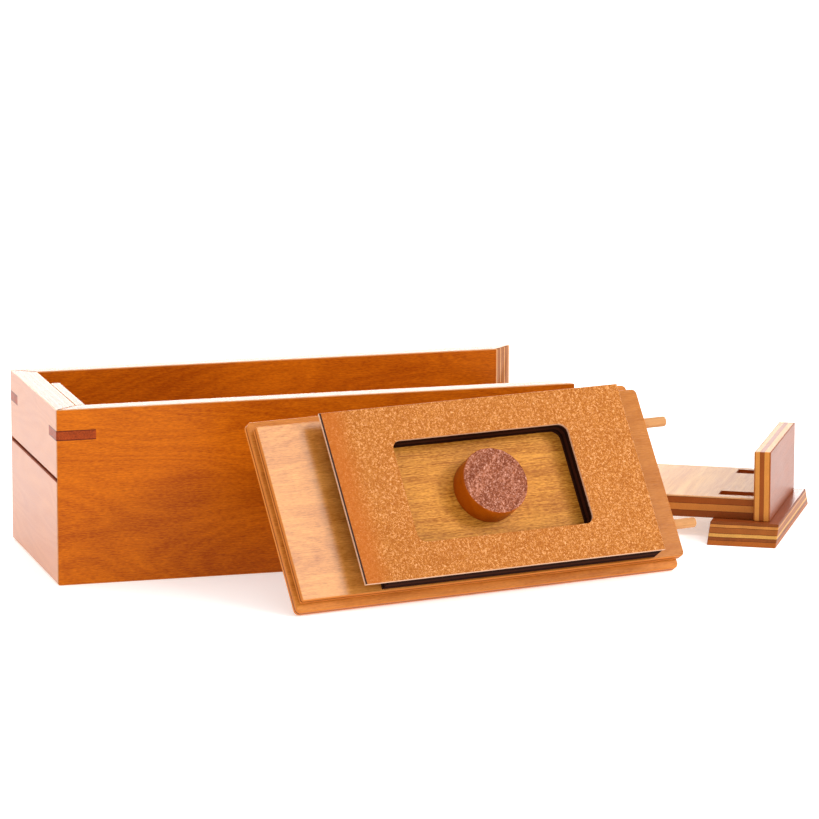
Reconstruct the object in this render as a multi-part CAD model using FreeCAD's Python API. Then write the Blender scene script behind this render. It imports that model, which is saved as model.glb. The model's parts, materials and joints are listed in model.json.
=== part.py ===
"""Plywood puzzle box, taken apart on a table: the open box, its lid, and the key that shuts its end.

Every piece is drawn in the closed box. The frame's origin is the middle of the box's underside, +X
points along the box to its open end, +Y to the back and +Z up. The lid and the end key are then laid
out: the lid leans back on the front wall, and the key lies on its outer face beside the box.
Millimetres and degrees.
"""
import FreeCAD, Part
import math
import os

Vector = FreeCAD.Vector

# The box
box_length = 308.0
box_width = 130.0
box_height = 102.0
wall = 12.0                 # long walls, right end and end key
left_end = 14.0             # left end, upper panel and drawer front
end_joint_below_rim = 40.7  # to the middle of the gap across the left end
end_gap = 1.5
bottom_thickness = 5.0
bottom_rabbet = 6.0
partition_thickness = 4.0
partition_below_joint = 1.25
partition_groove = 4.0
partition_end_room = 3.0
inner_block_thickness = 5.5
inner_block_length = 69.0

# Corner keys: flat triangles let into the mitres
corner_key_thickness = 5.8
corner_key_along_wall = 23.0
corner_key_along_end = 20.5
left_key_below_rim = 12.1
right_key_height = 27.0

# The hidden drawer
drawer_side = 6.0
drawer_base_thickness = 3.0
drawer_base_height = 3.0
drawer_base_groove = 3.0
drawer_end_room = 9.0

# The lid's two boards
lid_below_rim = 16.8
lower_layer = 5.0
upper_layer = 5.0
lid_end_room = 21.8         # lid's right end to the key's tongue
side_ledge = 5.0
left_ledge = 2.5
lower_right_setback = 3.0
lid_corner = 3.0
lid_left_corner = 1.2

# The raised frame on the lid
frame_from_left = 34.5
frame_from_right = 18.6
frame_from_side = 0.7
frame_offset = 0.5          # toward the back
frame_end_rail = 40.1       # frame's edge to its window
frame_side_rail = 20.95
frame_face_thickness = 1.5
frame_core_layer = 5.1
frame_overhang_left = 15.5
frame_overhang_right = 1.5
window_corner = 5.5

# The shuttle under the frame, with its knob and two pins
shuttle_side_lap = 6.95     # under the frame's side rails
shuttle_cover = 0.5
travel_in = 14.0
travel_out = 15.0
knob_diameter = 40.0
knob_height = 14.6
knob_edge = 0.8
knob_dowel_diameter = 8.0
knob_dowel_length = 15.0
pin_diameter = 6.0
pin_inset = 6.0             # pin's axis, in from the shuttle's side
pin_reach = 15.7
pin_in_shuttle = 26.0
pin_edge = 0.8

# The end key
shelf_length = 42.0
shelf_thickness = 10.0
shelf_margin = 5.9
tongue_thickness = 13.0
tongue_margin = 9.1
tongue_floor_room = 5.85    # above the bottom board
slot_length = 22.9

# Clearances
mitre_clearance = 0.3       # square to a mitre that comes apart
lid_clearance = 0.3         # lid's upper board to walls and left end
groove_clearance = 0.25     # lid's ledge, above and below
ledge_clearance = 0.5       # lid's ledge to the bottom of its groove
drawer_clearance = 0.6
drawer_lift = 0.4
base_clearance = 0.6        # drawer front above the table
end_clearance = 0.3         # key to the box's fixed end
shelf_clearance = 0.5       # shelf above the lid's face
shuttle_clearance = 0.3
pin_clearance = 0.2
slot_clearance = 2.5        # lock pin to the sides of its slot in the tongue
slot_end_clearance = 1.1    # lock pin's tip to the end of its slot
cut_past = 1.0              # how far a cutter runs past the face that it opens
same_place = 1e-6

# How the loose pieces are laid out
lid_yaw = 12.06
lid_lean = 33.32
lid_lap = 193.6             # lid's left edge, back from the wall's open end
lean_gap = 0.4
key_yaw = -28.98
key_from_lid = 40.9
key_behind_front = 12.4

# Places in the closed box
half_length = box_length / 2
half_width = box_width / 2
inner_half_width = half_width - wall
left_inner_x = -half_length + left_end
right_inner_x = half_length - wall
end_joint_height = box_height - end_joint_below_rim
lower_end_top = end_joint_height - end_gap / 2
upper_end_bottom = end_joint_height + end_gap / 2
partition_top = lower_end_top - partition_below_joint
lid_half_width = inner_half_width - lid_clearance
lid_face = box_height - lid_below_rim
lid_joint = lid_face - upper_layer
lid_underside = lid_joint - lower_layer
key_bottom = lower_end_top + end_clearance
shelf_bottom = lid_face + shelf_clearance
tongue_x = right_inner_x - tongue_thickness
tongue_bottom = bottom_thickness + tongue_floor_room
tongue_half_width = inner_half_width - tongue_margin
lid_left_x = left_inner_x + lid_clearance
lid_right_x = tongue_x - lid_end_room
frame_left_x = lid_left_x + frame_from_left
frame_right_x = lid_right_x - frame_from_right
frame_half_width = lid_half_width - frame_from_side
window_x = (frame_left_x + frame_right_x) / 2
window_y = frame_offset
window_half_length = (frame_right_x - frame_left_x) / 2 - frame_end_rail
window_half_width = frame_half_width - frame_side_rail
shuttle_top = lid_face - shuttle_clearance
shuttle_bottom = lid_joint - pin_diameter / 2
shuttle_half_width = window_half_width + shuttle_side_lap
pin_from_middle = shuttle_half_width - pin_inset
pin_tip_x = lid_right_x + pin_reach
slot_half_width = pin_diameter / 2 + slot_clearance
slot_depth = pin_reach + travel_out - lid_end_room + slot_end_clearance
partition_right_x = tongue_x - partition_end_room
drawer_rear_x = tongue_x - drawer_end_room


def block(x, y, z):
    """Box between the low and high values of x, y and z."""
    low = Vector(x[0], y[0], z[0])
    return Part.makeBox(x[1] - x[0], y[1] - y[0], z[1] - z[0], low)


def prism(outline, z):
    """Upright prism on a closed outline of (x, y) points."""
    points = [Vector(px, py, z[0]) for px, py in outline + outline[:1]]
    return Part.Face(Part.makePolygon(points)).extrude(Vector(0, 0, z[1] - z[0]))


def mirrored(shape):
    """The same piece on the other side of the box."""
    return shape.mirror(Vector(0, 0, 0), Vector(0, 1, 0))


def round_corners(shape, corners, radius):
    """Rounds the upright edges that stand on the given (x, y) corners."""
    edges = []
    for edge in shape.Edges:
        ends = [vertex.Point for vertex in edge.Vertexes]
        if len(ends) != 2 or math.hypot(ends[0].x - ends[1].x, ends[0].y - ends[1].y) > same_place:
            continue
        if any(math.hypot(ends[0].x - cx, ends[0].y - cy) < same_place for cx, cy in corners):
            edges.append(edge)
    return shape.makeFillet(radius, edges)


def rectangle_corners(x, y):
    return [(px, py) for px in x for py in y]


def window_cutter(z):
    """The frame's window, with rounded corners, over the height z."""
    x = (window_x - window_half_length, window_x + window_half_length)
    y = (window_y - window_half_width, window_y + window_half_width)
    return round_corners(block(x, y, z), rectangle_corners(x, y), window_corner)


def end_panel(outer_x, inner_x, z, clearance):
    """Mitred end board. The clearance is square to its mitres."""
    depth = abs(outer_x - inner_x)
    back_off = clearance * math.hypot(depth, wall) / depth
    outer_y = half_width - back_off
    inner_y = inner_half_width - back_off
    return prism([(outer_x, -outer_y), (inner_x, -inner_y), (inner_x, inner_y), (outer_x, outer_y)], z)


def corner_key(end_x, toward_middle, bottom):
    """Triangular key in the front corner at end_x; toward_middle is +1 or -1 along X."""
    outline = [
        (end_x, -half_width),
        (end_x + toward_middle * corner_key_along_wall, -half_width),
        (end_x, -half_width + corner_key_along_end),
    ]
    return prism(outline, (bottom, bottom + corner_key_thickness))


def lid_groove_cutter():
    """The room that the lid's ledges slide in, open at the right end."""
    x = (lid_left_x - left_ledge - ledge_clearance, half_length + wall)
    reach = lid_half_width + side_ledge + ledge_clearance
    return block(x, (-reach, reach), (lid_underside - groove_clearance, lid_joint + groove_clearance))


def make_bottom_board():
    x = (left_inner_x + end_clearance, right_inner_x + bottom_rabbet)
    reach = inner_half_width + bottom_rabbet
    return block(x, (-reach, reach), (0, bottom_thickness))


def make_partition_board():
    x = (left_inner_x + end_clearance, partition_right_x)
    reach = inner_half_width + partition_groove
    return block(x, (-reach, reach), (partition_top - partition_thickness, partition_top))


def make_front_wall(let_in):
    """Long wall, mitred at both ends, grooved for every board in let_in."""
    outline = [
        (-half_length, -half_width),
        (half_length, -half_width),
        (right_inner_x, -inner_half_width),
        (left_inner_x, -inner_half_width),
    ]
    shape = prism(outline, (0, box_height))
    for piece in let_in:
        shape = shape.cut(piece)
    return shape.cut(lid_groove_cutter())


def make_left_upper_end(let_in):
    shape = end_panel(-half_length, left_inner_x, (upper_end_bottom, box_height), 0)
    for piece in let_in:
        shape = shape.cut(piece)
    return shape.cut(lid_groove_cutter())


def make_left_inner_block():
    """Block inside the left rim. It holds the lid's end down."""
    x = (left_inner_x, left_inner_x + inner_block_thickness)
    y = (-inner_half_width, -inner_half_width + inner_block_length)
    return block(x, y, (lid_face + groove_clearance, box_height))


def make_right_lower_end(let_in):
    shape = end_panel(half_length, right_inner_x + end_clearance, (0, lower_end_top), 0)
    for piece in let_in:
        shape = shape.cut(piece)
    return shape


def make_drawer():
    """Mitred front, two sides, a rear and a base let into all four."""
    bottom = bottom_thickness + drawer_lift
    top = partition_top - partition_thickness - drawer_lift
    outer_y = inner_half_width - drawer_clearance
    side_inner_y = outer_y - drawer_side
    base_z = (bottom + drawer_base_height, bottom + drawer_base_height + drawer_base_thickness)
    base_y = side_inner_y + drawer_base_groove
    base_x = (left_inner_x - drawer_base_groove, drawer_rear_x - drawer_side + drawer_base_groove)
    base = block(base_x, (-base_y, base_y), base_z)
    front = end_panel(-half_length, left_inner_x, (base_clearance, lower_end_top), mitre_clearance)
    side = block((left_inner_x, drawer_rear_x), (-outer_y, -side_inner_y), (bottom, top))
    rear = block((drawer_rear_x - drawer_side, drawer_rear_x), (-side_inner_y, side_inner_y), (bottom, top))
    side = side.cut(base)
    return {
        "drawer_front": front.cut(base),
        "drawer_side_front": side,
        "drawer_side_back": mirrored(side),
        "drawer_rear": rear.cut(base),
        "drawer_base": base,
    }


def shuttle_ends():
    """The shuttle's ends at rest: it covers the window at both ends of its travel."""
    left = window_x - window_half_length - travel_out - shuttle_cover
    right = window_x + window_half_length + travel_in + shuttle_cover
    return left, right


def pocket_cutter():
    """The room in the lid's boards that the shuttle slides in."""
    left, right = shuttle_ends()
    x = (left - travel_in - shuttle_clearance, right + travel_out + shuttle_clearance)
    reach = shuttle_half_width + shuttle_clearance
    z = (shuttle_bottom - shuttle_clearance, lid_face + upper_layer)
    return block(x, (window_y - reach, window_y + reach), z)


def pin_rod(side, radius, start_x, end_x):
    """Round rod on a lock pin's axis; side is +1 at the back and -1 at the front."""
    start = Vector(start_x, window_y + side * pin_from_middle, lid_joint)
    return Part.makeCylinder(radius, end_x - start_x, start, Vector(1, 0, 0))


def make_lid_boards():
    """Two glued boards, pocketed for the shuttle and bored for its pins."""
    ledge_y = lid_half_width + side_ledge
    lower_x = (lid_left_x - left_ledge, lid_right_x - lower_right_setback)
    lower = block(lower_x, (-ledge_y, ledge_y), (lid_underside, lid_joint))
    lower = round_corners(lower, rectangle_corners(lower_x, (-ledge_y, ledge_y)), lid_corner)
    upper_x = (lid_left_x, lid_right_x)
    upper_y = (-lid_half_width, lid_half_width)
    upper = block(upper_x, upper_y, (lid_joint, lid_face))
    upper = round_corners(upper, rectangle_corners(upper_x[1:], upper_y), lid_corner)
    upper = round_corners(upper, rectangle_corners(upper_x[:1], upper_y), lid_left_corner)
    pocket = pocket_cutter()
    cutters = [pocket]
    for side in (-1, 1):
        bore = pin_rod(side, pin_diameter / 2 + pin_clearance, shuttle_ends()[1], lid_right_x + cut_past)
        cutters.append(bore)
    for cutter in cutters:
        lower = lower.cut(cutter)
        upper = upper.cut(cutter)
    return lower, upper


def make_frame_piece(x, z):
    """One layer of the raised frame, with the window through it."""
    y = (window_y - frame_half_width, window_y + frame_half_width)
    return block(x, y, z).cut(window_cutter((z[0] - cut_past, z[1] + cut_past)))


def make_frame():
    """Two dark core layers under a thin textured face that overhangs them."""
    core_x = (frame_left_x + frame_overhang_left, frame_right_x - frame_overhang_right)
    middle = lid_face + frame_core_layer
    core_top = middle + frame_core_layer
    face_z = (core_top, core_top + frame_face_thickness)
    return {
        "frame_core_lower": make_frame_piece(core_x, (lid_face, middle)),
        "frame_core_upper": make_frame_piece(core_x, (middle, core_top)),
        "frame_face": make_frame_piece((frame_left_x, frame_right_x), face_z),
    }


def make_knob_dowel():
    start = Vector(window_x, window_y, shuttle_bottom)
    return Part.makeCylinder(knob_dowel_diameter / 2, knob_dowel_length, start)


def make_knob():
    foot = Vector(window_x, window_y, shuttle_top)
    shape = Part.makeCylinder(knob_diameter / 2, knob_height, foot)
    top_edges = [edge for edge in shape.Edges if edge.BoundBox.ZMin > shuttle_top + knob_height / 2]
    return shape.makeFillet(knob_edge, top_edges).cut(make_knob_dowel())


def make_lock_pin(side):
    """Pale dowel that sticks out of the lid's right end."""
    start_x = shuttle_ends()[1] - pin_in_shuttle
    shape = pin_rod(side, pin_diameter / 2, start_x, pin_tip_x)
    tip_edges = [edge for edge in shape.Edges if edge.BoundBox.XMin > pin_tip_x - pin_edge]
    return shape.makeFillet(pin_edge, tip_edges)


def make_shuttle_board():
    """Board under the frame, with open channels below for the pins."""
    left, right = shuttle_ends()
    y = (window_y - shuttle_half_width, window_y + shuttle_half_width)
    shape = block((left, right), y, (shuttle_bottom, shuttle_top))
    for side in (-1, 1):
        x = (right - pin_in_shuttle, right + cut_past)
        rod = pin_rod(side, pin_diameter / 2, x[0], x[1])
        axis_y = window_y + side * pin_from_middle
        channel_y = (axis_y - pin_diameter / 2, axis_y + pin_diameter / 2)
        below = block(x, channel_y, (lid_underside, lid_joint))
        shape = shape.cut(rod).cut(below)
    return shape.cut(make_knob_dowel())


def make_end_key():
    """End panel, a shelf that covers the lid's end, and a tongue that drops behind the lower end."""
    panel = end_panel(half_length, right_inner_x, (key_bottom, box_height), mitre_clearance)
    shelf_y = inner_half_width - shelf_margin
    shelf_x = (right_inner_x - shelf_length, right_inner_x)
    shelf = block(shelf_x, (-shelf_y, shelf_y), (shelf_bottom, shelf_bottom + shelf_thickness))
    tongue_y = (-tongue_half_width, tongue_half_width)
    tongue = block((tongue_x, right_inner_x), tongue_y, (tongue_bottom, shelf_bottom))
    for side in (-1, 1):
        axis_y = window_y + side * pin_from_middle
        slot_y = (axis_y - slot_half_width, axis_y + slot_half_width)
        slot_z = (shelf_bottom - slot_length, shelf_bottom + cut_past)
        slot = block((tongue_x - cut_past, tongue_x + slot_depth), slot_y, slot_z)
        tongue = tongue.cut(slot)
    return {"key_end_panel": panel, "key_shelf": shelf, "key_tongue": tongue}


def build_box():
    left_key_height = box_height - left_key_below_rim - corner_key_thickness
    keys = {
        "corner_key_left_front": corner_key(-half_length, 1, left_key_height),
        "corner_key_right_front": corner_key(half_length, -1, right_key_height),
    }
    keys["corner_key_left_back"] = mirrored(keys["corner_key_left_front"])
    keys["corner_key_right_back"] = mirrored(keys["corner_key_right_front"])
    bottom = make_bottom_board()
    partition = make_partition_board()
    front_keys = [keys["corner_key_left_front"], keys["corner_key_right_front"]]
    front = make_front_wall([bottom, partition] + front_keys)
    nodes = {
        "front_wall": front,
        "back_wall": mirrored(front),
        "left_upper_end": make_left_upper_end([keys["corner_key_left_front"], keys["corner_key_left_back"]]),
        "left_inner_block": make_left_inner_block(),
        "right_lower_end": make_right_lower_end(
            [bottom, keys["corner_key_right_front"], keys["corner_key_right_back"]]),
        "bottom_board": bottom,
        "partition_board": partition,
    }
    nodes.update(keys)
    return nodes


def build_lid():
    lower, upper = make_lid_boards()
    nodes = {"lid_lower_board": lower, "lid_upper_board": upper}
    nodes.update(make_frame())
    return nodes


def build_shuttle():
    return {
        "shuttle_board": make_shuttle_board(),
        "knob": make_knob(),
        "knob_dowel": make_knob_dowel(),
        "lock_pin_front": make_lock_pin(-1),
        "lock_pin_back": make_lock_pin(1),
    }


def placement(closed_point, laid_point, x_axis, y_axis, z_axis):
    """Carries closed_point to laid_point and the closed axes to the three given ones."""
    matrix = FreeCAD.Matrix(
        x_axis.x, y_axis.x, z_axis.x, 0,
        x_axis.y, y_axis.y, z_axis.y, 0,
        x_axis.z, y_axis.z, z_axis.z, 0,
        0, 0, 0, 1)
    turn = FreeCAD.Placement(matrix)
    return FreeCAD.Placement(laid_point - turn.multVec(closed_point), turn.Rotation)


def lid_axes():
    """The leaning lid's length, its width up the slope, and the way its face looks."""
    yaw = math.radians(lid_yaw)
    lean = math.radians(lid_lean)
    along = Vector(math.cos(yaw), math.sin(yaw), 0)
    backward = Vector(-math.sin(yaw), math.cos(yaw), 0)
    up_slope = Vector(0, 0, 1) * math.cos(lean) + backward * math.sin(lean)
    return along, up_slope, along.cross(up_slope)


def lid_placement():
    """Stands the lid's lower back edge on the table and rests its upper one on the front wall."""
    along, up_slope, face = lid_axes()
    thickness = lower_layer + upper_layer
    foot = up_slope * side_ledge + face * thickness
    head = up_slope * (2 * lid_half_width + side_ledge) - face * thickness
    x = half_length - lid_lap
    reach = (half_length - x - head.x) / along.x
    y = -half_width - lean_gap - head.y - reach * along.y
    corner = Vector(x, y, foot.z)
    return placement(Vector(lid_left_x, -lid_half_width, lid_face), corner, along, up_slope, face)


def key_placement():
    """Lays the key's outer face on the table, past the lid's right end."""
    yaw = math.radians(key_yaw)
    right = Vector(math.cos(yaw), math.sin(yaw), 0)
    back = Vector(-math.sin(yaw), math.cos(yaw), 0)
    lid_corner_point = lid_placement().multVec(Vector(lid_right_x, -lid_half_width, lid_face))
    corner = Vector(lid_corner_point.x + key_from_lid, -half_width + key_behind_front, 0)
    key_corner = Vector(half_length, -inner_half_width, key_bottom)
    return placement(key_corner, corner, Vector(0, 0, -1), back, right)


def moved(nodes, place):
    """Copies of the nodes, carried from the closed box to where they are laid."""
    result = {}
    for name, shape in nodes.items():
        copy = shape.copy()
        copy.transformShape(place.toMatrix(), True)
        result[name] = copy
    return result


closed_groups = {
    "box": build_box(),
    "drawer": make_drawer(),
    "lid": build_lid(),
    "shuttle": build_shuttle(),
    "end_key": make_end_key(),
}
laid_nodes = dict(closed_groups["box"])
laid_nodes.update(closed_groups["drawer"])
laid_nodes.update(moved(closed_groups["lid"], lid_placement()))
laid_nodes.update(moved(closed_groups["shuttle"], lid_placement()))
laid_nodes.update(moved(closed_groups["end_key"], key_placement()))

os.makedirs("parts", exist_ok=True)
for node_name, node_shape in laid_nodes.items():
    if len(node_shape.Solids) != 1 or not node_shape.isValid():
        raise RuntimeError(node_name + " is not one valid solid")
    node_shape.Solids[0].exportStep("parts/" + node_name + ".step")
print(len(laid_nodes), "pieces")
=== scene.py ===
import json
import math

import bmesh
import bpy
from mathutils import Matrix, Vector


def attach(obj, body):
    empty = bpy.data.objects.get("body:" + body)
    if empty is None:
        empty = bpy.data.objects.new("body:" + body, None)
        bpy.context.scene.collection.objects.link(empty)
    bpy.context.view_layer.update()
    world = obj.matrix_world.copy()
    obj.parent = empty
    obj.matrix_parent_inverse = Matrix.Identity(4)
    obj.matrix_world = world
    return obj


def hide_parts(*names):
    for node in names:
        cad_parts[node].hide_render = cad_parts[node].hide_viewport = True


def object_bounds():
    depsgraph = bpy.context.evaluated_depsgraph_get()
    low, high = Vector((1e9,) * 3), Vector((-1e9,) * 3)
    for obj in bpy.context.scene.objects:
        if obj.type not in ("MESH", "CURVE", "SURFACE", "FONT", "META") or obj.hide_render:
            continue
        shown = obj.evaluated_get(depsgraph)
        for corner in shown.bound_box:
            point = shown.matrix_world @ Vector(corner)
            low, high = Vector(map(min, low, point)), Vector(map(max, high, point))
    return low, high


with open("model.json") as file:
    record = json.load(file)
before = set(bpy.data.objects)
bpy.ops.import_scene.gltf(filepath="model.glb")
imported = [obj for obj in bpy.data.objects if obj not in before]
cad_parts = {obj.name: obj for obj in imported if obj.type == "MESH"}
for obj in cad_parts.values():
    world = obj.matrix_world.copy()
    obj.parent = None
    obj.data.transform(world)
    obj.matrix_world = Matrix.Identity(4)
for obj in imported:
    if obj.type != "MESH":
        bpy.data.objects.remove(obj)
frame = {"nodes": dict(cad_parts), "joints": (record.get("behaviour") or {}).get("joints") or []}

cadLow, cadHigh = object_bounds()
mm = 0.001
up = Vector((0, 0, 1))


def tint(*levels):  # red, green and blue from 0 to 255, as linear light
    return [((c / 255 + 0.055) / 1.055) ** 2.4 if c > 10 else c / 255 / 12.92 for c in levels] + [1]


# one wire carries one socket of a shader or geometry tree, and sums on wires add Math nodes
class Wire:
    def __init__(self, tree, socket=None):
        self.tree = tree
        self.socket = socket

    def node(self, kind, values=None, output=0, stops=None, **settings):
        made = self.tree.nodes.new(kind)
        for name, value in settings.items():
            setattr(made, name, value)
        if stops:
            made.color_ramp.interpolation = "CONSTANT"
            made.color_ramp.elements.remove(made.color_ramp.elements[1])
            made.color_ramp.elements[0].color = stops[0][1]
            for place, colour in stops[1:]:
                made.color_ramp.elements.new(place).color = colour
        for name, value in (values or {}).items():
            if isinstance(value, Wire):
                self.tree.links.new(value.socket, made.inputs[name])
            else:
                made.inputs[name].default_value = value
        return Wire(self.tree, made.outputs[output] if len(made.outputs) else None)

    def maths(self, operation, first, second=0.0, clamp=False):
        return self.node("ShaderNodeMath", {0: first, 1: second}, operation=operation, use_clamp=clamp)

    def __add__(self, other):
        return self.maths("ADD", self, other)

    def __sub__(self, other):
        return self.maths("SUBTRACT", self, other)

    def __rsub__(self, other):
        return self.maths("SUBTRACT", other, self)

    def __mul__(self, other):
        return self.maths("MULTIPLY", self, other)

    def __truediv__(self, other):
        return self.maths("DIVIDE", self, other)

    __radd__ = __add__
    __rmul__ = __mul__

    def held(self):  # kept from 0 to 1
        return self.maths("ADD", self, 0.0, clamp=True)

    def step(self, low, high):  # 0 below low and 1 above high, smooth between
        return self.node("ShaderNodeMapRange", {0: self, 1: low, 2: high}, interpolation_type="SMOOTHSTEP")

    def colours(self, low, high):
        return self.node("ShaderNodeMix", {0: self, 6: low, 7: high}, output=2, data_type="RGBA")


def startMaterial(name):  # the material, its first wire, and the place along, across and through, in mm
    material = bpy.data.materials.new(name)
    material.use_nodes = True
    material.node_tree.nodes.clear()
    start = Wire(material.node_tree)
    place = start.node("ShaderNodeAttribute", output=1, attribute_name="place")
    place = start.node("ShaderNodeVectorMath", {0: place, 3: 1 / mm}, operation="SCALE")
    return material, start, place


def finishMaterial(start, colour, roughness, height, gloss):
    bump = start.node("ShaderNodeBump", {"Height": height, "Strength": gloss["bump"],
                                         "Distance": gloss["relief"]})
    start.node("ShaderNodeOutputMaterial", {0: start.node("ShaderNodeBsdfPrincipled", {
        "Base Color": colour, "Roughness": roughness, "Normal": bump,
        "Specular IOR Level": gloss["specular"], "Coat Weight": gloss["coat"],
        "Coat Roughness": gloss["coatRoughness"]})})


# noise drawn out along the grain: how often it changes in a millimetre along and across it
def stretched(start, place, along, across, detail=2.0, distortion=0.0, shift=0.0):
    at = start.node("ShaderNodeVectorMath", {0: place, 1: (along, across, across)}, operation="MULTIPLY")
    at = start.node("ShaderNodeVectorMath", {0: at, 1: (shift, shift, shift)}, operation="ADD")
    return start.node("ShaderNodeTexNoise", {"Vector": at, "Scale": 1.0, "Detail": detail, "Roughness": 0.55,
                                             "Distortion": distortion})


lacquer = {"specular": 0.11, "coat": 0.0, "coatRoughness": 0.25, "bump": 0.25, "relief": 0.0002}
polish = {**lacquer, "specular": 0.34}
barely = {"specular": 0.1, "coat": 0.0, "coatRoughness": 0.3, "bump": 0.35, "relief": 0.0003}
dull = {**barely, "specular": 0.02}


def veneerMaterial(name, looks, gloss):  # the broad face of a board
    material, start, place = startMaterial(name)
    fibres = stretched(start, place, along=0.05, across=1.7, detail=3.0)
    streaks = stretched(start, place, along=0.01, across=0.2, distortion=0.8, shift=11.0)
    clouds = stretched(start, place, along=0.014, across=0.03, distortion=0.4, shift=23.0)
    ticks = stretched(start, place, along=0.16, across=2.6, detail=1.0, shift=37.0).step(0.62, 0.74)
    fine = stretched(start, place, along=0.35, across=1.5, distortion=0.3, shift=51.0)
    growth = stretched(start, place, along=0.006, across=0.022, detail=1.5, distortion=0.5, shift=67.0)
    rings = start.maths("SINE", growth * looks["ringCount"])
    tone = 0.5 + looks["fibres"] * (fibres - 0.5) + looks["streaks"] * (streaks - 0.5)
    tone = tone + looks["clouds"] * (clouds - 0.5) + looks["fine"] * (fine - 0.5)
    tone = (tone + looks["rings"] * rings).held()
    if "paintedGlareTo" in looks:  # painted reflection: lighter toward the board's left end, standing in for the light's glare there, and glossier there
        along = start.node("ShaderNodeSeparateXYZ", {0: place}, output=0)
        past = along.step(0.0, looks["paintedGlareTo"])
        tone = tone * (1 - past * looks["paintedGlareFade"])
        gloss = {**gloss, "coat": (1 - past) * looks["sheen"]}
    colour = tone.colours(tint(*looks["dark"]), tint(*looks["light"]))
    colour = (ticks * looks["ticks"]).colours(colour, tint(*looks["tick"]))
    roughness = looks["roughness"] + 0.12 * (fibres - 0.5) + 0.10 * (clouds - 0.5)
    finishMaterial(start, colour, roughness, fibres - 0.6 * ticks, gloss)
    return material


def plyStops(plies, seam, glue):  # each ply's colour up to its share of the thickness, then its glue line
    stops = []
    low = 0.0
    for high, colour in plies:
        stops.append((low, tint(*colour)))
        if high < 1:
            stops.append((high - glue, tint(*seam)))
        low = high
    return stops


def plyEdgeMaterial(name, looks, gloss):  # the layers that a board's edge shows
    material, start, place = startMaterial(name)
    through = start.node("ShaderNodeSeparateXYZ", {0: place}, output=2)
    wander = stretched(start, place, along=0.06, across=0.06, shift=5.0)
    share = through / looks["thick"] + looks["wander"] * (wander - 0.5)
    stops = plyStops(looks["plies"], looks["seam"], looks["glue"])
    plies = start.node("ShaderNodeValToRGB", {0: share}, stops=stops)
    lengthwise = stretched(start, place, along=0.07, across=1.6, detail=3.0, shift=3.0)
    ends = stretched(start, place, along=1.5, across=1.5, detail=1.0, shift=17.0)
    clouds = stretched(start, place, along=0.04, across=0.15, shift=29.0)
    shade = 1 + looks["vary"] * (0.6 * (lengthwise - 0.5) + 0.4 * (ends - 0.5) + 0.5 * (clouds - 0.5))
    colour = start.node("ShaderNodeVectorMath", {0: plies, 3: shade}, operation="SCALE")
    roughness = looks["roughness"] + 0.15 * (ends - 0.5)
    finishMaterial(start, colour, roughness, ends + lengthwise, gloss)
    return material


def pebbledMaterial(name, looks, gloss):  # a skin of fine curled grains whose tops carry painted glints of reflected light
    material, start, place = startMaterial(name)
    usualHeight, wander, fade, lively = 0.72, 8, 8, 1
    warp = start.node("ShaderNodeTexNoise", {"Vector": place, "Scale": 0.7, "Detail": 1.0}, output=1)
    warp = start.node("ShaderNodeVectorMath", {0: warp, 3: 1.6}, operation="SCALE")
    at = start.node("ShaderNodeVectorMath", {0: place, 1: warp}, operation="ADD")
    grains = start.node("ShaderNodeTexNoise", {"Vector": at, "Scale": looks["grain"], "Detail": 1.5,
                                               "Roughness": 0.6, "Distortion": 0.8})
    curls = 1 - 2 * start.maths("ABSOLUTE", grains - 0.5) / looks["curl"]
    coarse = start.node("ShaderNodeTexNoise", {"Vector": at, "Scale": looks["grain"] * 0.6, "Detail": 2.0})
    height = 0.5 * curls.held() + coarse
    broad = stretched(start, place, looks["bandAlong"], looks["bandAcross"], distortion=1.0, shift=41.0)
    if "smoothAndShadedTo" in looks:  # a smoother skin with painted shade toward the board's left end, where the glare falls off
        along = start.node("ShaderNodeSeparateXYZ", {0: place}, output=0)
        wave = start.node("ShaderNodeTexNoise", {"Vector": place, "Scale": 0.05, "Detail": 2.0})
        smoothAndShaded = (along + wander * (wave - 0.5)).step(looks["smoothAndShadedTo"] - fade, looks["smoothAndShadedTo"] + fade)
        smoothAndShaded = 1 - smoothAndShaded
        lively = 1 - 0.4 * smoothAndShaded
    tone = 0.45 + looks["contrast"] * lively * (height - usualHeight)
    tone = (tone + looks["clouds"] * (broad - 0.5)).held()
    # painted highlight: the grain tops turn pale, standing in for sparkles of reflected light
    paintedGlints = height.step(looks["paintedGlintFrom"], looks["paintedGlintTo"]) * looks["paintedGlints"] * lively
    colour = tone.colours(tint(*looks["dark"]), tint(*looks["light"]))
    colour = paintedGlints.colours(colour, tint(*looks["paintedGlint"]))
    if "smoothAndShadedTo" in looks:  # painted shade in its own darker colour, and a dark line at its very end
        line = 1 - along.step(looks["lineTo"] * 0.7, looks["lineTo"])
        colour = (smoothAndShaded * looks["paintedShadeDepth"]).colours(colour, tint(*looks["paintedShadeTone"]))
        colour = line.colours(colour, tint(*looks["line"]))
    finishMaterial(start, colour, looks["roughness"] - 0.1 * paintedGlints, height * lively, gloss)
    return material


# boards: the CAD solid with its outer arrises eased, its grain laid and its faces given their finishes
boardValues = {
    "merge": 0.001, "flat": 0.5,  # corners this near are one, and faces this many degrees apart
    "sameWay": 0.5, "proud": 0.004, "acute": -0.3,  # which corner lines are arrises, and thin mitres
    "facets": 3, "cut": 0.0005,  # the flats that make up a rounded arris
    "broadFrom": 0.75, "gapFrom": 0.2, "pocketDepth": 0.5,  # which faces take which finish
    "sharpFrom": 35.0, "seedAlong": 0.37, "seedAcross": 0.21}


def cleanMesh(node):
    form = bmesh.new()
    form.from_mesh(frame["nodes"][node].data)
    bmesh.ops.remove_doubles(form, verts=form.verts, dist=boardValues["merge"] * mm)
    flat = math.radians(boardValues["flat"])
    bmesh.ops.dissolve_limit(form, angle_limit=flat, verts=form.verts, edges=form.edges)
    return form


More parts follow.
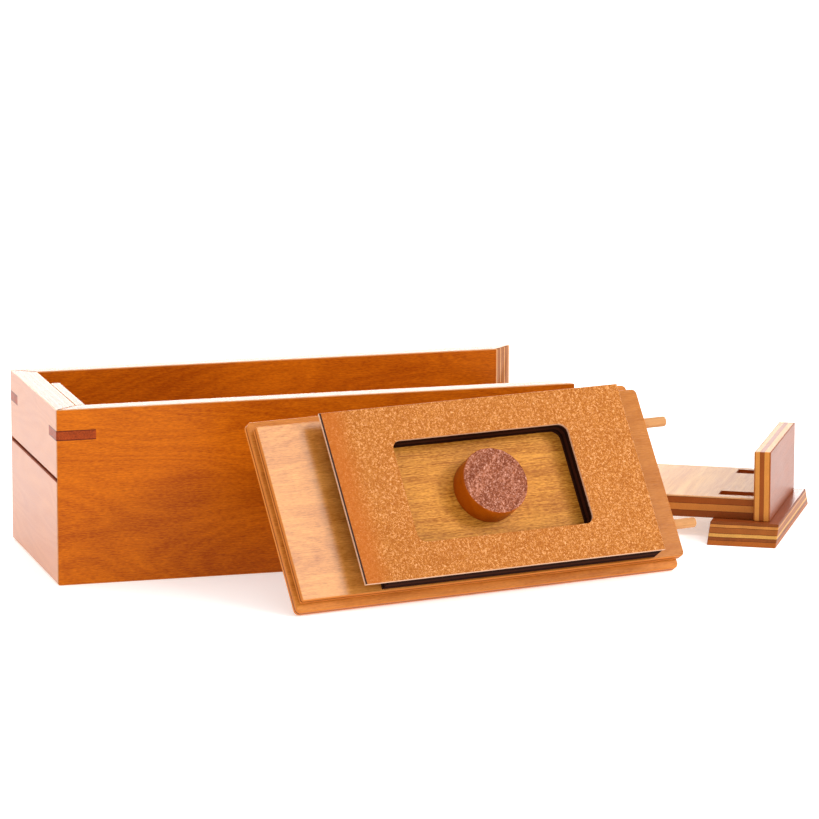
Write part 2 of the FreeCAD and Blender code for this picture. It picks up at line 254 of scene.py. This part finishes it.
def outerArrises(form):  # corner lines where two faces meet and nothing stands outside either
    points = [vertex.co.copy() for vertex in form.verts]
    found = {}
    for edge in form.edges:
        if len(edge.link_faces) != 2:
            continue
        first, second = sorted(edge.link_faces, key=lambda face: -face.calc_area())
        n1, n2, point = first.normal.copy(), second.normal.copy(), edge.verts[0].co.copy()
        if n1.dot(n2) > boardValues["sameWay"]:
            continue
        proud = max(max((p - point).dot(n1), (p - point).dot(n2)) for p in points)
        if proud > boardValues["proud"] * mm:
            continue
        key = tuple(round(value, 4) for value in (*n1, *n2, point.dot(n1), point.dot(n2)))
        found[key] = (point, n1, n2)
    return list(found.values())


def easeArris(form, point, n1, n2, radius):
    facets = boardValues["facets"]
    if n1.dot(n2) < boardValues["acute"]:  # a mitre's thin edge is eased as part of the whole corner
        n2 = (n2 - n1 * n1.dot(n2)).normalized()
    centre = point - (n1 + n2) * radius / (1 + n1.dot(n2))
    for step in range(1, facets + 1):
        share = step / (facets + 1)
        normal = (n1 * (1 - share) + n2 * share).normalized()
        everything = form.verts[:] + form.edges[:] + form.faces[:]
        cut = bmesh.ops.bisect_plane(form, geom=everything, dist=boardValues["cut"] * mm, clear_outer=True,
                                     plane_co=centre + normal * radius, plane_no=normal)
        rim = [part for part in cut["geom_cut"] if isinstance(part, bmesh.types.BMEdge)]
        bmesh.ops.edgeloop_fill(form, edges=rim)


def grainAxes(mesh):  # along, across and through, from the broadest face and the longest edge on it
    areas = {}
    for face in mesh.polygons:
        key = tuple(round(abs(value), 2) for value in face.normal)
        total, normal = areas.get(key, (0.0, face.normal.copy()))
        areas[key] = (total + face.area, normal)
    through = max(areas.values(), key=lambda item: item[0])[1]
    lines = [mesh.vertices[e.vertices[1]].co - mesh.vertices[e.vertices[0]].co for e in mesh.edges]
    lines = [line for line in lines if abs(line.dot(through)) < 0.02 * line.length]
    along = max(lines, key=lambda line: line.length).normalized()
    along, through = (-line if max(line, key=abs) < 0 else line for line in (along, through))
    return along, through.cross(along).normalized(), through


def layGrain(mesh, axes, seed):
    along, across, through = axes
    places = [Vector((v.co.dot(along), v.co.dot(across), v.co.dot(through))) for v in mesh.vertices]
    low = Vector(map(min, *places))
    shift = Vector((boardValues["seedAlong"] * seed, boardValues["seedAcross"] * seed, 0))
    attribute = mesh.attributes.new("place", "FLOAT_VECTOR", "POINT")
    attribute.data.foreach_set("vector", [value for p in places for value in p - low + shift])


def giveFinishes(mesh, through, face, edge, other=None, isOther=None):
    mesh.materials.clear()
    for finish in (face, edge, other) if other else (face, edge):
        mesh.materials.append(finish)
    for polygon in mesh.polygons:
        polygon.material_index = 0 if abs(polygon.normal.dot(through)) > boardValues["broadFrom"] else 1
        if other and isOther(polygon):
            polygon.material_index = 2


def settle(name, mesh, body, nodes):  # the finished piece on its body, in place of its CAD nodes
    mesh.set_sharp_from_angle(angle=math.radians(boardValues["sharpFrom"]))
    draft = bpy.data.objects.new(name + "Draft", mesh)
    bpy.context.scene.collection.objects.link(draft)
    flat = draft.modifiers.new("evenShading", "WEIGHTED_NORMAL")
    flat.keep_sharp = True
    final = bpy.data.meshes.new_from_object(draft.evaluated_get(bpy.context.evaluated_depsgraph_get()))
    bpy.data.objects.remove(draft)
    final.name = name
    piece = bpy.data.objects.new(name, final)
    bpy.context.scene.collection.objects.link(piece)
    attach(piece, body)
    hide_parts(*nodes)
    return piece


# softer is a direction and how much to ease the arrises on that side, which meet across a gap; the faces
# toward that gap take painted shade
def makeBoard(node, body, face, edge, ease, seed, softer=None, cornersOnly=False, pocketShade=None):
    form = cleanMesh(node)
    for point, n1, n2 in outerArrises(form) if ease else []:
        upright = abs(n1.z) < 0.01 and abs(n2.z) < 0.01 and abs(n1.dot(n2)) < 0.1
        if cornersOnly and not upright:
            continue
        radius = ease
        if softer and max(n1.dot(softer[0]), n2.dot(softer[0])) > 0.9:
            radius = softer[1]
        easeArris(form, point, n1, n2, radius * mm)
    loose = sum(len(edge.link_faces) != 2 for edge in form.edges)
    if loose:
        print("open edges on", node, loose)
    mesh = bpy.data.meshes.new(node + "Mesh")
    form.to_mesh(mesh)
    form.free()
    for polygon in mesh.polygons:
        polygon.use_smooth = True
    axes = grainAxes(mesh)
    layGrain(mesh, axes, seed)
    # painted shade: faces that look across the gap take the darker gap wood
    if softer:
        giveFinishes(mesh, axes[2], face, edge, gapShadeWood,
                     lambda side: side.normal.dot(softer[0]) > boardValues["gapFrom"])
    else:  # painted shade, partly the inner plies' own colour: the walls and floor of a recess, which have wood standing in front of them, take darker, redder wood
        points = [vertex.co.copy() for vertex in mesh.vertices]
        giveFinishes(mesh, axes[2], face, edge, pocketShade, lambda side: max(
            (point - side.center).dot(side.normal) for point in points) > boardValues["pocketDepth"] * mm)
    return settle(node + ".wood", mesh, body, [node])


# turned rods: a line whose width follows a quarter circle at each end, put on a row of points
def rodTree():
    tree = bpy.data.node_groups.new("turnedRods", "GeometryNodeTree")
    sockets = (("Radius", "Float"), ("Length", "Float"), ("Edge", "Float"), ("Facets", "Int"),
               ("Start", "Vector"), ("Step", "Vector"), ("Count", "Int"), ("Turn", "Vector"),
               ("Finish", "Material"))
    for name, kind in sockets:
        tree.interface.new_socket(name, in_out="INPUT", socket_type="NodeSocket" + kind)
    tree.interface.new_socket("Rods", in_out="OUTPUT", socket_type="NodeSocketGeometry")
    start = Wire(tree)
    given = tree.nodes.new("NodeGroupInput")
    take = {name: Wire(tree, given.outputs[name]) for name, kind in sockets}
    ringSteps = 5
    index = start.node("GeometryNodeInputIndex")
    last = 2 * ringSteps + 1
    fromEnd = start.maths("MINIMUM", index, last - index)
    angle = fromEnd / ringSteps * (math.pi / 2)
    inset = take["Edge"] * (1 - start.maths("COSINE", angle))
    width = take["Radius"] - take["Edge"] * (1 - start.maths("SINE", angle))
    beyond = start.maths("GREATER_THAN", index, ringSteps + 0.5)
    height = inset + beyond * (take["Length"] - 2 * inset)
    line = start.node("GeometryNodeMeshLine", {"Count": last + 1, "Offset": (0, 0, 0.001)}, mode="OFFSET")
    place = start.node("ShaderNodeCombineXYZ", {2: height})
    line = start.node("GeometryNodeSetPosition", {"Geometry": line, "Position": place})
    curve = start.node("GeometryNodeMeshToCurve", {"Mesh": line})
    ring = start.node("GeometryNodeCurvePrimitiveCircle", {"Resolution": take["Facets"], "Radius": 1.0})
    rod = start.node("GeometryNodeCurveToMesh", {"Curve": curve, "Profile Curve": ring, "Scale": width,
                                                 "Fill Caps": True})
    points = start.node("GeometryNodeMeshLine", {"Count": take["Count"], "Start Location": take["Start"],
                                                 "Offset": take["Step"]}, mode="OFFSET")
    rods = start.node("GeometryNodeInstanceOnPoints", {"Points": points, "Instance": rod,
                                                       "Rotation": take["Turn"]})
    rods = start.node("GeometryNodeRealizeInstances", {"Geometry": rods})
    rods = start.node("GeometryNodeSetMaterial", {"Geometry": rods, "Material": take["Finish"]})
    start.node("NodeGroupOutput", {0: rods})
    return tree, sockets


def makeRods(name, values, finish, endFinish, body, nodes, axis, seed):
    tree, sockets = rodTree()
    blank = bpy.data.meshes.new(name + "Blank")
    holder = bpy.data.objects.new(name + "Holder", blank)
    bpy.context.scene.collection.objects.link(holder)
    modifier = holder.modifiers.new("turnedRods", "NODES")
    modifier.node_group = tree
    for item in tree.interface.items_tree:
        if item.in_out == "INPUT":
            modifier[item.identifier] = finish if item.name == "Finish" else values[item.name]
    mesh = bpy.data.meshes.new_from_object(holder.evaluated_get(bpy.context.evaluated_depsgraph_get()))
    bpy.data.objects.remove(holder)
    form = bmesh.new()
    form.from_mesh(mesh)
    bmesh.ops.recalc_face_normals(form, faces=form.faces)
    form.to_mesh(mesh)
    form.free()
    for polygon in mesh.polygons:
        polygon.use_smooth = True
    side = axis.orthogonal().normalized()
    if endFinish:
        layGrain(mesh, (side, axis.cross(side), axis), seed)
        giveFinishes(mesh, axis, endFinish, finish)
    else:
        layGrain(mesh, (axis, side, axis.cross(side)), seed)
    return settle(name, mesh, body, nodes)


def span(node, axes):  # a node's lowest and highest place along each of the axes
    places = [Vector([v.co.dot(axis) for axis in axes]) for v in frame["nodes"][node].data.vertices]
    return Vector(map(min, *places)), Vector(map(max, *places))


# finishes
def evenPlies(count, light, dark):  # equal plies, the outer ones light
    return [((ply + 1) / count, dark if ply % 2 else light) for ply in range(count)]


usualRings = {"rings": 0.08, "ringCount": 90.0}

wallLooks = {"dark": (154, 66, 2), "light": (204, 106, 8), "tick": (110, 42, 3), "ticks": 0.45,
             "fibres": 0.8, "streaks": 0.35, "clouds": 1.1, "fine": 1.5, "rings": 0.1, "ringCount": 110.0,
             "roughness": 0.36}
wallFace = veneerMaterial("wallVeneer", wallLooks, lacquer)

# painted reflection: the end boards are lighter and pinker than the walls, standing in for the glare they
# catch
endGlareLooks = {**wallLooks, "dark": (176, 100, 58), "light": (198, 128, 84), "ticks": 0.15, "fine": 0.6}
endGlareFace = veneerMaterial("endGlareVeneer", endGlareLooks, {**polish, "coat": 0.25})

# painted shade: a darker wood for faces that look across a gap between boards
gapShadeLooks = {**wallLooks, "dark": (118, 46, 14), "light": (158, 70, 26), "roughness": 0.7}
gapShadeWood = veneerMaterial("gapShadeWood", gapShadeLooks, barely)

wallEdgeLooks = {"thick": 12.0, "plies": evenPlies(7, (196, 136, 84), (160, 98, 54)),
                 "seam": (104, 50, 22), "glue": 0.035, "wander": 0.04, "vary": 0.7, "roughness": 0.34}
wallEdge = plyEdgeMaterial("wallEdge", wallEdgeLooks, lacquer)
endEdge = plyEdgeMaterial("endEdge", {**wallEdgeLooks, "thick": 14.0}, lacquer)

# painted reflection: the lid board is kept lighter toward its left end, standing in for the glare of the
# light
lidLooks = {**usualRings, "dark": (154, 82, 10), "light": (232, 158, 76), "tick": (120, 62, 18),
            "ticks": 0.45, "fibres": 0.7, "streaks": 0.5, "clouds": 0.6, "fine": 0.9, "roughness": 0.26,
            "paintedGlareTo": 150.0, "paintedGlareFade": 0.6, "sheen": 0.6}
lidFace = veneerMaterial("lidVeneer", lidLooks, lacquer)

ledgeLooks = {**usualRings, "dark": (160, 86, 20), "light": (212, 134, 56), "tick": (116, 58, 14),
              "ticks": 0.45, "fibres": 0.9, "streaks": 0.8, "clouds": 0.8, "fine": 0.9, "roughness": 0.4}
ledgeFace = veneerMaterial("ledgeVeneer", ledgeLooks, lacquer)

lidEdgeLooks = {"thick": 5.0,
                "plies": [(0.42, (200, 118, 50)), (0.58, (140, 66, 18)), (1.0, (214, 132, 60))],
                "seam": (110, 52, 16), "glue": 0.05, "wander": 0.06, "vary": 0.6, "roughness": 0.36}
lidEdge = plyEdgeMaterial("lidEdge", lidEdgeLooks, lacquer)

coreLooks = {"thick": 5.1, "plies": evenPlies(3, (56, 28, 20), (30, 14, 10)), "seam": (14, 6, 5),
             "glue": 0.06, "wander": 0.05, "vary": 0.9, "roughness": 0.7}
coreWood = plyEdgeMaterial("darkCore", coreLooks, dull)

# painted shade: the frame face turns darker and glints less toward its left end, where its relief is also
# smoother
faceLooks = {"bandAlong": 0.02, "bandAcross": 0.07, "grain": 1.25, "curl": 0.2, "contrast": 2.8,
             "clouds": 0.4, "dark": (160, 86, 18), "light": (208, 134, 60), "paintedGlint": (236, 172, 118),
             "paintedGlintFrom": 0.86, "paintedGlintTo": 1.12, "paintedGlints": 1.0, "roughness": 0.45, "smoothAndShadedTo": 13.0,
             "paintedShadeDepth": 0.6, "paintedShadeTone": (180, 88, 8), "lineTo": 1.5, "line": (52, 24, 14)}
faceSkin = pebbledMaterial("pebbledFace", faceLooks, {**lacquer, "bump": 0.6, "relief": 0.0004})

# painted highlight: the knob's grain tops carry painted glints as well
knobLooks = {"bandAlong": 0.05, "bandAcross": 0.22, "grain": 1.25, "curl": 0.2, "contrast": 3.6,
             "clouds": 2.4, "dark": (112, 50, 24), "light": (176, 104, 72), "paintedGlint": (222, 166, 146),
             "paintedGlintFrom": 0.84, "paintedGlintTo": 1.1, "paintedGlints": 0.9, "roughness": 0.45}
knobTop = pebbledMaterial("pebbledKnob", knobLooks, {**lacquer, "bump": 0.6, "relief": 0.0004})

knobSideLooks = {**usualRings, "dark": (146, 58, 2), "light": (188, 92, 6), "tick": (110, 42, 4),
                 "ticks": 0.3, "fibres": 0.6, "streaks": 0.6, "clouds": 0.5, "fine": 0.4,
                 "roughness": 0.34}
knobSide = veneerMaterial("knobSide", knobSideLooks, lacquer)

shuttleLooks = {**usualRings, "dark": (160, 92, 20), "light": (216, 146, 56), "tick": (120, 68, 18),
                "ticks": 0.8, "fibres": 2.2, "streaks": 1.3, "clouds": 0.8, "fine": 2.2, "roughness": 0.4}
shuttleFace = veneerMaterial("shuttleVeneer", shuttleLooks, {**lacquer, "bump": 0.5})

pinLooks = {**usualRings, "dark": (176, 120, 72), "light": (208, 152, 98), "tick": (142, 90, 50),
            "ticks": 0.3, "fibres": 0.8, "streaks": 0.5, "clouds": 0.3, "fine": 0.5, "roughness": 0.5}
pinWood = veneerMaterial("pinWood", pinLooks, barely)

# painted highlight: the frame sheet's edges take a pale colour, standing in for the light its arrises catch
rimHighlightLooks = {**pinLooks, "dark": (206, 160, 126), "light": (226, 186, 156)}
faceRimHighlight = veneerMaterial("faceRimHighlight", rimHighlightLooks, polish)

keyFaceLooks = {**usualRings, "dark": (118, 50, 16), "light": (152, 74, 28), "tick": (86, 38, 14),
                "ticks": 0.4, "fibres": 0.6, "streaks": 0.7, "clouds": 0.6, "fine": 0.6,
                "roughness": 0.34}
keyFace = veneerMaterial("keyVeneer", keyFaceLooks, polish)
shelfFace = veneerMaterial("shelfVeneer", keyFaceLooks, polish)

# painted shade, partly the inner plies' own colour: darker, redder wood for the walls and floor of pockets
pocketShadeLooks = {**keyFaceLooks, "dark": (150, 62, 16), "light": (186, 92, 34)}
pocketShadeWood = veneerMaterial("pocketShadeWood", pocketShadeLooks, dull)

keyEdgeLooks = {"thick": 12.0, "seam": (104, 50, 16), "glue": 0.025, "wander": 0.05, "vary": 0.8,
                "roughness": 0.4,
                "plies": [(0.24, (158, 84, 28)), (0.37, (128, 66, 26)), (0.53, (196, 142, 70)),
                          (0.76, (148, 82, 32)), (0.90, (184, 118, 54)), (1.0, (122, 62, 24))]}
keyEdge = plyEdgeMaterial("keyEdge", keyEdgeLooks, lacquer)

shelfEdgeLooks = {"thick": 10.0,
                  "plies": [(0.08, (168, 98, 38)), (0.36, (200, 132, 60)), (0.62, (142, 70, 20)),
                            (0.94, (200, 130, 56)), (1.0, (150, 80, 30))], "seam": (122, 60, 20),
                  "glue": 0.02, "wander": 0.04, "vary": 0.5, "roughness": 0.4}
shelfEdge = plyEdgeMaterial("shelfEdge", shelfEdgeLooks, lacquer)

tongueFaceLooks = {**usualRings, "dark": (166, 106, 46), "light": (204, 154, 92), "tick": (136, 82, 36),
                   "ticks": 0.4, "fibres": 1.0, "streaks": 1.4, "clouds": 0.7, "fine": 0.5,
                   "roughness": 0.45}
tongueFace = veneerMaterial("tongueVeneer", tongueFaceLooks, barely)

tongueEdgeLooks = {"thick": 13.0,
                   "plies": [(0.33, (124, 60, 18)), (0.66, (182, 112, 48)), (0.94, (140, 70, 22)),
                             (1.0, (204, 150, 100))], "seam": (92, 42, 12), "glue": 0.025, "wander": 0.03,
                   "vary": 0.5, "roughness": 0.45}
tongueEdge = plyEdgeMaterial("tongueEdge", tongueEdgeLooks, barely)

palePlyLooks = {**usualRings, "dark": (178, 132, 84), "light": (208, 168, 120), "tick": (140, 96, 56),
                "ticks": 0.3, "fibres": 0.6, "streaks": 0.6, "clouds": 0.5, "fine": 0.5, "roughness": 0.6}
palePly = veneerMaterial("palePly", palePlyLooks, barely)

palePlyEdgeLooks = {"thick": 6.0, "plies": evenPlies(5, (202, 160, 110), (160, 112, 66)),
                    "seam": (110, 70, 38), "glue": 0.03, "wander": 0.03, "vary": 0.6, "roughness": 0.6}
palePlyEdge = plyEdgeMaterial("palePlyEdge", palePlyEdgeLooks, barely)

cornerKeyLooks = {**usualRings, "dark": (122, 40, 8), "light": (170, 68, 20), "tick": (84, 26, 6),
                  "ticks": 0.6, "fibres": 1.5, "streaks": 0.5, "clouds": 0.3, "fine": 0.6,
                  "roughness": 0.36}
cornerKeyWood = veneerMaterial("cornerKeyWood", cornerKeyLooks, lacquer)

cornerKeyEdgeLooks = {"thick": 5.8,
                      "plies": [(0.1, (96, 32, 8)), (0.9, (148, 58, 16)), (1.0, (96, 32, 8))],
                      "seam": (112, 38, 10), "glue": 0.01, "wander": 0.12, "vary": 2.0, "roughness": 0.36}
cornerKeyEdge = plyEdgeMaterial("cornerKeyEdge", cornerKeyEdgeLooks, lacquer)

print("finishes made")

boxValues = {"ease": 1.0, "gapEase": 0.8, "blockEase": 0.5}
for count, node in enumerate(("front_wall", "back_wall")):
    makeBoard(node, "box", wallFace, wallEdge, boxValues["ease"], 1 + count)
makeBoard("left_upper_end", "box", endGlareFace, endEdge, boxValues["ease"], 3,
          (-up, boxValues["gapEase"]))
makeBoard("right_lower_end", "box", wallFace, wallEdge, boxValues["ease"], 4,
          (up, boxValues["gapEase"]))
makeBoard("left_inner_block", "box", wallFace, wallEdge, boxValues["blockEase"], 5)
makeBoard("bottom_board", "box", palePly, palePlyEdge, 0, 6)
makeBoard("partition_board", "box", palePly, palePlyEdge, 0, 7)
for count, corner in enumerate(("left_front", "left_back", "right_front", "right_back")):
    makeBoard("corner_key_" + corner, "box", cornerKeyWood, cornerKeyEdge, boxValues["ease"],
              8 + count, cornersOnly=True)
print("box made")

drawerValues = {"ease": 0.5}
makeBoard("drawer_front", "drawer", endGlareFace, endEdge, boxValues["ease"], 12,
          (up, boxValues["gapEase"]))
for count, node in enumerate(("drawer_side_front", "drawer_side_back", "drawer_rear", "drawer_base")):
    makeBoard(node, "drawer", palePly, palePlyEdge, drawerValues["ease"], 13 + count)
print("drawer made")

lidValues = {"ease": 0.8, "faceEase": 0.3}
makeBoard("lid_lower_board", "lid", ledgeFace, lidEdge, lidValues["ease"], 17)
makeBoard("lid_upper_board", "lid", lidFace, lidEdge, lidValues["ease"], 0)
makeBoard("frame_core_lower", "lid", coreWood, coreWood, 0, 19)
makeBoard("frame_core_upper", "lid", coreWood, coreWood, 0, 20)
makeBoard("frame_face", "lid", faceSkin, faceRimHighlight, lidValues["faceEase"], 0)
print("lid made")

slide = next(joint for joint in frame["joints"] if joint["name"] == "shuttle_slide")
lidAlong = Vector(slide["axis"]).normalized()
faceMesh = frame["nodes"]["frame_face"].data
lidOut = max(faceMesh.polygons, key=lambda polygon: polygon.area).normal.copy()
lidOut = lidOut if lidOut.z > 0 else -lidOut
lidUp = lidOut.cross(lidAlong).normalized()
lidAxes = (lidAlong, lidUp, lidOut)
makeBoard("shuttle_board", "shuttle", shuttleFace, lidEdge, 0, 22)


def fromLid(place):
    return lidAlong * place[0] + lidUp * place[1] + lidOut * place[2]


turnOut = Matrix((lidAlong, lidUp, lidOut)).transposed().to_euler()


def makeStandingRod(name, node, values, finish, endFinish, seed):  # one rod, square to the lid
    low, high = span(node, lidAxes)
    foot = fromLid(((low.x + high.x) / 2, (low.y + high.y) / 2, low.z))
    makeRods(name, {
        "Radius": (high.x - low.x) / 2, "Length": high.z - low.z, "Edge": values["edge"] * mm,
        "Facets": values["facets"], "Start": foot, "Step": (0, 0, 0), "Count": 1, "Turn": turnOut},
        finish, endFinish, "shuttle", [node], lidOut, seed)


knobValues = {"edge": 0.5, "facets": 128}
makeStandingRod("knobTurned", "knob", knobValues, knobSide, knobTop, 23)
dowelValues = {"edge": 0.2, "facets": 32}
makeStandingRod("knobDowel", "knob_dowel", dowelValues, pinWood, None, 24)
pinValues = {"edge": 0.9, "facets": 40}
low, high = span("lock_pin_front", lidAxes)
farLow, farHigh = span("lock_pin_back", lidAxes)
turnAlong = Matrix((lidUp, lidOut, lidAlong)).transposed().to_euler()
makeRods("lockPins", {
    "Radius": (high.y - low.y) / 2, "Length": high.x - low.x, "Edge": pinValues["edge"] * mm,
    "Facets": pinValues["facets"], "Start": fromLid((low.x, (low.y + high.y) / 2, (low.z + high.z) / 2)),
    "Step": fromLid((0, farLow.y - low.y, 0)), "Count": 2, "Turn": turnAlong},
    pinWood, None, "shuttle", ["lock_pin_front", "lock_pin_back"], lidAlong, 25)
print("shuttle made")

keyValues = {"ease": 0.7, "tongueEase": 0.5}
makeBoard("key_end_panel", "end_key", keyFace, keyEdge, keyValues["ease"], 26)
makeBoard("key_shelf", "end_key", shelfFace, shelfEdge, keyValues["ease"], 27)
makeBoard("key_tongue", "end_key", tongueFace, tongueEdge, keyValues["tongueEase"], 28,
          pocketShade=pocketShadeWood)
print("end key made")


# the table, the light and the camera
def makeTable():
    values = {"reach": 14.0, "tone": (243, 242, 240), "mottle": 5, "glow": 0.42}
    form = bmesh.new()
    bmesh.ops.create_grid(form, x_segments=2, y_segments=2, size=values["reach"])
    mesh = bpy.data.meshes.new("tableTop")
    form.to_mesh(mesh)
    form.free()
    table = bpy.data.objects.new("tableTop", mesh)
    bpy.context.scene.collection.objects.link(table)
    material = bpy.data.materials.new("paleTable")
    material.use_nodes = True
    material.node_tree.nodes.clear()
    start = Wire(material.node_tree)
    place = start.node("ShaderNodeTexCoord", output=3)
    mottle = start.node("ShaderNodeTexNoise", {"Vector": place, "Scale": 3.0, "Detail": 2.0})
    colour = mottle.colours(tint(*values["tone"]), tint(*[c + values["mottle"] for c in values["tone"]]))
    start.node("ShaderNodeOutputMaterial", {0: start.node("ShaderNodeBsdfPrincipled", {
        "Base Color": colour, "Roughness": 0.7, "Specular IOR Level": 0.1,
        "Emission Color": tint(*values["tone"]), "Emission Strength": values["glow"]})})
    mesh.materials.append(material)


def aim(thing, toward):  # turns a light or camera that looks down its own -Z
    thing.rotation_euler = Vector(toward).to_track_quat("-Z", "Y").to_euler()


def makePanel(name, toward, distance, width, height, level):  # level is the light on a card that faces it
    light = bpy.data.lights.new(name, "AREA")
    light.shape = "RECTANGLE"
    light.size = width
    light.size_y = height
    light.energy = level * (math.pi * distance) ** 2
    panel = bpy.data.objects.new(name, light)
    bpy.context.scene.collection.objects.link(panel)
    toward = Vector(toward).normalized()
    panel.location = (cadLow + cadHigh) / 2 + toward * distance
    aim(panel, -toward)


def makeLight():  # each panel: where it stands from the object, how far, how wide and high, how strong
    values = {"sky": 0.92, "panels": {
        "keyLight": ((0.70, -0.50, 0.52), 2.4, 0.5, 0.5, 0.44),
        "sheenLight": ((0.43, -0.49, 0.76), 2.4, 0.75, 0.75, 0.2),
        "backLight": ((-0.15, 1.0, 0.24), 4.5, 6.0, 2.0, 1.0)}}
    world = bpy.data.worlds.new("softRoom")
    world.use_nodes = True
    world.node_tree.nodes["Background"].inputs["Color"].default_value = (1, 1, 1, 1)
    world.node_tree.nodes["Background"].inputs["Strength"].default_value = values["sky"]
    bpy.context.scene.world = world
    for name, panel in values["panels"].items():
        makePanel(name, *panel)


def makeCamera():
    values = {"place": (-0.72507, -2.78672, 0.64704), "bearing": 15.97, "dip": 11.10, "roll": -0.11,
              "lens": 219.8, "film": 36, "farthest": 60}
    lens = bpy.data.cameras.new("camera")
    lens.lens = values["lens"]
    lens.sensor_width = values["film"]
    lens.clip_end = values["farthest"]
    camera = bpy.data.objects.new("camera", lens)
    bpy.context.scene.collection.objects.link(camera)
    bearing, dip, roll = (math.radians(values[name]) for name in ("bearing", "dip", "roll"))
    ahead = Vector((math.sin(bearing) * math.cos(dip), math.cos(bearing) * math.cos(dip), -math.sin(dip)))
    right = Vector((math.cos(bearing), -math.sin(bearing), 0))
    top = right.cross(ahead)
    turnedRight = right * math.cos(roll) - top * math.sin(roll)
    turnedTop = right * math.sin(roll) + top * math.cos(roll)
    camera.rotation_euler = Matrix((turnedRight, turnedTop, -ahead)).transposed().to_euler()
    camera.location = values["place"]
    bpy.context.scene.camera = camera


makeTable()
makeLight()
makeCamera()
bpy.context.scene.view_settings.view_transform = "Standard"
print("table, light and camera made")
